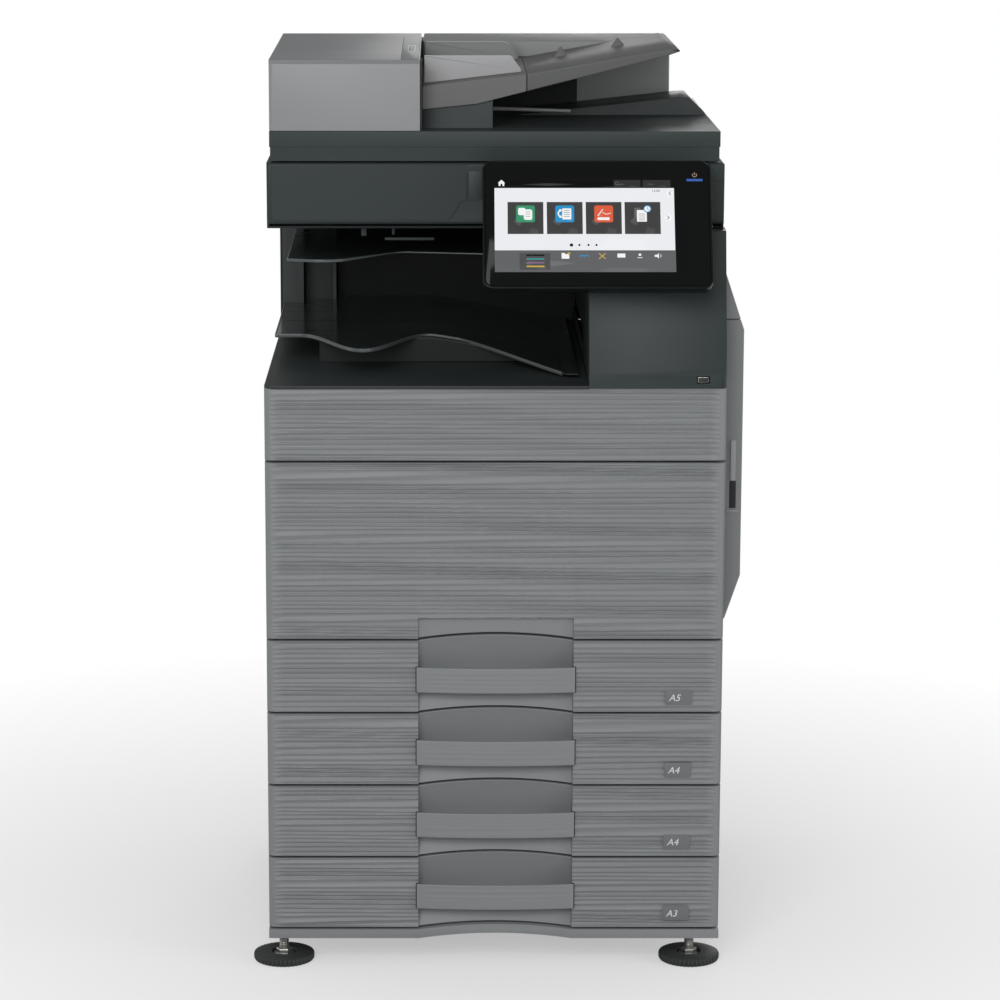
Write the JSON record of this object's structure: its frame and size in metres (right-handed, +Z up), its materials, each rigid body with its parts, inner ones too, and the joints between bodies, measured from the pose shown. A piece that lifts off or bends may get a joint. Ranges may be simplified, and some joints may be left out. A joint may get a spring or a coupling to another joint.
{
  "type": "photocopier",
  "caption": "Floor-standing A3 colour copier with paper drawers, toner door, output bay, tilting touch panel, flatbed scanner and document feeder.",
  "frame": {"origin": "on the floor, at the middle of the machine's footprint", "axes": "+Z up, -Y towards the person at the control panel, +X to their right"},
  "size_m": [0.6388, 0.66, 1.191],
  "materials": {
    "body_grey": "fine moulded grey, ribbed on the fronts",
    "light_grey": "fine moulded light grey",
    "slate": "slate, satin",
    "smoked_sheet": "smoked translucent sheet",
    "gloss_black": "glossy black",
    "steel": "zinc plated",
    "rubber": "matt black",
    "glass": "clear flat glass",
    "drum_coat": "smooth coated roller",
    "nylon": "off-white moulding",
    "toner_black": "black bottle",
    "toner_cyan": "cyan bottle",
    "toner_magenta": "magenta bottle",
    "toner_yellow": "yellow bottle"
  },
  "bodies": {
    "root": {"toner_bottle_black": "toner_black", "toner_bottle_cyan": "toner_cyan", "toner_bottle_magenta": "toner_magenta", "toner_bottle_yellow": "toner_yellow", "stand_cabinet": "body_grey", "engine_frame": "steel", "left_cover": "body_grey", "right_cover": "body_grey", "rear_cover": "body_grey", "upper_front_cover": "body_grey", "output_deck": "slate", "output_tray": "smoked_sheet", "upper_output_tray": "smoked_sheet", "output_bay_housing": "slate", "right_column": "slate", "scanner_housing": "slate", "platen_glass": "glass", "laser_unit": "gloss_black", "transfer_belt": "rubber"},
    "fork_front_left": {"caster_fork_front_left": "steel"},
    "wheel_front_left": {"caster_wheel_front_left": "nylon"},
    "fork_front_right": {"caster_fork_front_right": "steel"},
    "wheel_front_right": {"caster_wheel_front_right": "nylon"},
    "fork_rear_left": {"caster_fork_rear_left": "steel"},
    "wheel_rear_left": {"caster_wheel_rear_left": "nylon"},
    "fork_rear_right": {"caster_fork_rear_right": "steel"},
    "wheel_rear_right": {"caster_wheel_rear_right": "nylon"},
    "foot_left": {"levelling_foot_left": "rubber"},
    "foot_right": {"levelling_foot_right": "rubber"},
    "drawer_1": {"drawer_1_tray": "nylon", "drawer_1_front": "body_grey", "drawer_1_handle": "body_grey"},
    "drawer_2": {"drawer_2_tray": "nylon", "drawer_2_front": "body_grey", "drawer_2_handle": "body_grey"},
    "drawer_3": {"drawer_3_tray": "nylon", "drawer_3_front": "body_grey", "drawer_3_handle": "body_grey"},
    "drawer_4": {"drawer_4_tray": "nylon", "drawer_4_front": "body_grey", "drawer_4_handle": "body_grey"},
    "front_door": {"front_door": "body_grey"},
    "side_door": {"side_door": "body_grey"},
    "bypass_tray": {"bypass_tray": "body_grey"},
    "panel": {"panel_housing": "gloss_black", "touch_screen": "gloss_black"},
    "lid": {"feeder_lid": "slate", "feeder_rear_housing": "body_grey"},
    "feeder_cover": {"feeder_cover": "light_grey"},
    "document_tray": {"document_tray": "body_grey"},
    "guide_front": {"document_guide_front": "light_grey"},
    "guide_rear": {"document_guide_rear": "body_grey"},
    "pickup": {"pickup_roller": "rubber"},
    "carriage": {"scan_carriage": "gloss_black"},
    "drum_1_body": {"drum_1": "drum_coat"},
    "drum_2_body": {"drum_2": "drum_coat"},
    "drum_3_body": {"drum_3": "drum_coat"},
    "drum_4_body": {"drum_4": "drum_coat"},
    "fuser": {"fuser_roller": "drum_coat"},
    "pressure": {"pressure_roller": "rubber"}
  },
  "joints": [
    {"name": "swivel_front_left", "type": "hinge", "parent": "root", "child": "fork_front_left", "pos_m": [-0.22785, -0.12, 0.062], "axis": [0, 0, 1], "continuous": true},
    {"name": "roll_front_left", "type": "hinge", "parent": "fork_front_left", "child": "wheel_front_left", "pos_m": [-0.22785, -0.106, 0.022], "axis": [1, 0, 0], "continuous": true},
    {"name": "swivel_front_right", "type": "hinge", "parent": "root", "child": "fork_front_right", "pos_m": [0.22215, -0.12, 0.062], "axis": [0, 0, 1], "continuous": true},
    {"name": "roll_front_right", "type": "hinge", "parent": "fork_front_right", "child": "wheel_front_right", "pos_m": [0.22215, -0.106, 0.022], "axis": [1, 0, 0], "continuous": true},
    {"name": "swivel_rear_left", "type": "hinge", "parent": "root", "child": "fork_rear_left", "pos_m": [-0.22785, 0.24, 0.062], "axis": [0, 0, 1], "continuous": true},
    {"name": "roll_rear_left", "type": "hinge", "parent": "fork_rear_left", "child": "wheel_rear_left", "pos_m": [-0.22785, 0.254, 0.022], "axis": [1, 0, 0], "continuous": true},
    {"name": "swivel_rear_right", "type": "hinge", "parent": "root", "child": "fork_rear_right", "pos_m": [0.22215, 0.24, 0.062], "axis": [0, 0, 1], "continuous": true},
    {"name": "roll_rear_right", "type": "hinge", "parent": "fork_rear_right", "child": "wheel_rear_right", "pos_m": [0.22215, 0.254, 0.022], "axis": [1, 0, 0], "continuous": true},
    {"name": "foot_left_screw", "type": "slide", "parent": "root", "child": "foot_left", "axis": [0, 0, 1], "range_m": [0, 0.01]},
    {"name": "foot_right_screw", "type": "slide", "parent": "root", "child": "foot_right", "axis": [0, 0, 1], "range_m": [0, 0.01]},
    {"name": "drawer_1_slide", "type": "slide", "parent": "root", "child": "drawer_1", "axis": [0, -1, 0], "range_m": [0, 0.45]},
    {"name": "drawer_2_slide", "type": "slide", "parent": "root", "child": "drawer_2", "axis": [0, -1, 0], "range_m": [0, 0.45]},
    {"name": "drawer_3_slide", "type": "slide", "parent": "root", "child": "drawer_3", "axis": [0, -1, 0], "range_m": [0, 0.45]},
    {"name": "drawer_4_slide", "type": "slide", "parent": "root", "child": "drawer_4", "axis": [0, -1, 0], "range_m": [0, 0.45]},
    {"name": "front_door_hinge", "type": "hinge", "parent": "root", "child": "front_door", "pos_m": [-0.00285, -0.2687, 0.4432], "axis": [1, 0, 0], "range_deg": [0, 86]},
    {"name": "side_door_hinge", "type": "hinge", "parent": "root", "child": "side_door", "pos_m": [0.29245, 0.27, 0.6775], "axis": [0, 0, 1], "range_deg": [0, 80]},
    {"name": "bypass_tray_hinge", "type": "hinge", "parent": "side_door", "child": "bypass_tray", "pos_m": [0.31905, 0.045, 0.51], "axis": [0, 1, 0], "range_deg": [0, 65]},
    {"name": "panel_tilt", "type": "hinge", "parent": "root", "child": "panel", "pos_m": [0.12715, -0.25401, 0.985], "axis": [1, 0, 0], "range_deg": [-15, 25]},
    {"name": "lid_hinge", "type": "hinge", "parent": "root", "child": "lid", "pos_m": [-0.00285, 0.306, 1.067], "axis": [-1, 0, 0], "range_deg": [0, 60]},
    {"name": "feeder_cover_hinge", "type": "hinge", "parent": "lid", "child": "feeder_cover", "pos_m": [-0.29085, 0.005, 1.0893], "axis": [0, -1, 0], "range_deg": [0, 80]},
    {"name": "document_tray_hinge", "type": "hinge", "parent": "lid", "child": "document_tray", "pos_m": [-0.09735, -0.021, 1.179], "axis": [0, -1, 0], "range_deg": [0, 30]},
    {"name": "front_guide_slide", "type": "slide", "parent": "document_tray", "child": "guide_front", "axis": [0, 1, 0], "range_m": [0, 0.09]},
    {"name": "rear_guide_slide", "type": "slide", "parent": "document_tray", "child": "guide_rear", "axis": [0, 1, 0], "range_m": [-0.09, 0]},
    {"name": "pickup_spin", "type": "hinge", "parent": "lid", "child": "pickup", "pos_m": [-0.12285, -0.025, 1.1625], "axis": [0, 1, 0], "continuous": true},
    {"name": "carriage_slide", "type": "slide", "parent": "root", "child": "carriage", "axis": [1, 0, 0], "range_m": [0, 0.37]},
    {"name": "drum_1_spin", "type": "hinge", "parent": "root", "child": "drum_1_body", "pos_m": [-0.20285, 0.015, 0.575], "axis": [0, 1, 0], "continuous": true},
    {"name": "drum_2_spin", "type": "hinge", "parent": "root", "child": "drum_2_body", "pos_m": [-0.12285, 0.015, 0.575], "axis": [0, 1, 0], "continuous": true},
    {"name": "drum_3_spin", "type": "hinge", "parent": "root", "child": "drum_3_body", "pos_m": [-0.04285, 0.015, 0.575], "axis": [0, 1, 0], "continuous": true},
    {"name": "drum_4_spin", "type": "hinge", "parent": "root", "child": "drum_4_body", "pos_m": [0.03715, 0.015, 0.575], "axis": [0, 1, 0], "continuous": true},
    {"name": "fuser_spin", "type": "hinge", "parent": "root", "child": "fuser", "pos_m": [0.19215, 0.04, 0.735], "axis": [0, 1, 0], "continuous": true},
    {"name": "pressure_spin", "type": "hinge", "parent": "root", "child": "pressure", "pos_m": [0.22775, 0.04, 0.735], "axis": [0, 1, 0], "continuous": true}
  ],
  "couplings": [
    {"joint": "rear_guide_slide", "follows": "front_guide_slide", "ratio": -1},
    {"joint": "drum_2_spin", "follows": "drum_1_spin", "ratio": 1},
    {"joint": "drum_3_spin", "follows": "drum_1_spin", "ratio": 1},
    {"joint": "drum_4_spin", "follows": "drum_1_spin", "ratio": 1},
    {"joint": "pressure_spin", "follows": "fuser_spin", "ratio": -1}
  ]
}
